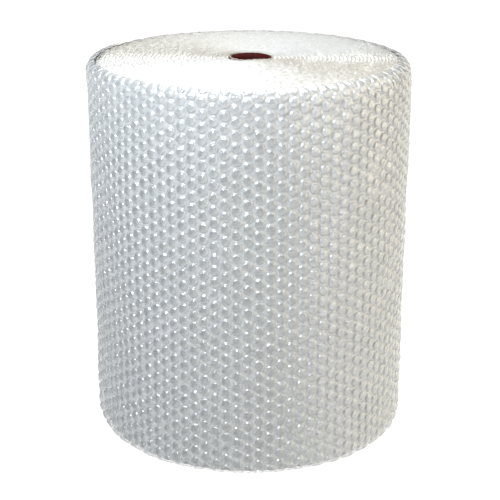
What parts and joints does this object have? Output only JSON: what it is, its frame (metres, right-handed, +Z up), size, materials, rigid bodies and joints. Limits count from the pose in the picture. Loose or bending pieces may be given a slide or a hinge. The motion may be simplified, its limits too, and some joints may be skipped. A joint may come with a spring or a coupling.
{
  "type": "bubble wrap roll",
  "caption": "Wide roll of clear bubble cushioning film wound on an open paperboard core, standing on its end; film is pulled off round the side.",
  "frame": {"origin": "on the core's axis, at the surface the roll stands on", "axes": "+Z up along the core's axis; the web's loose end is at the back left, at 150 degrees from +X counter-clockwise seen from above, and the picture's camera looks along +Y"},
  "size_m": [0.6327, 0.6286, 0.75],
  "materials": {
    "bubble_film": "clear blown film in many layers, whitish where it is thick, with small bright glints on every bubble",
    "core_paper": "dark maroon wound paperboard with spiral ply seams"
  },
  "bodies": {
    "root": {"bubble_wrap": "bubble_film", "paper_core": "core_paper"}
  },
  "joints": []
}
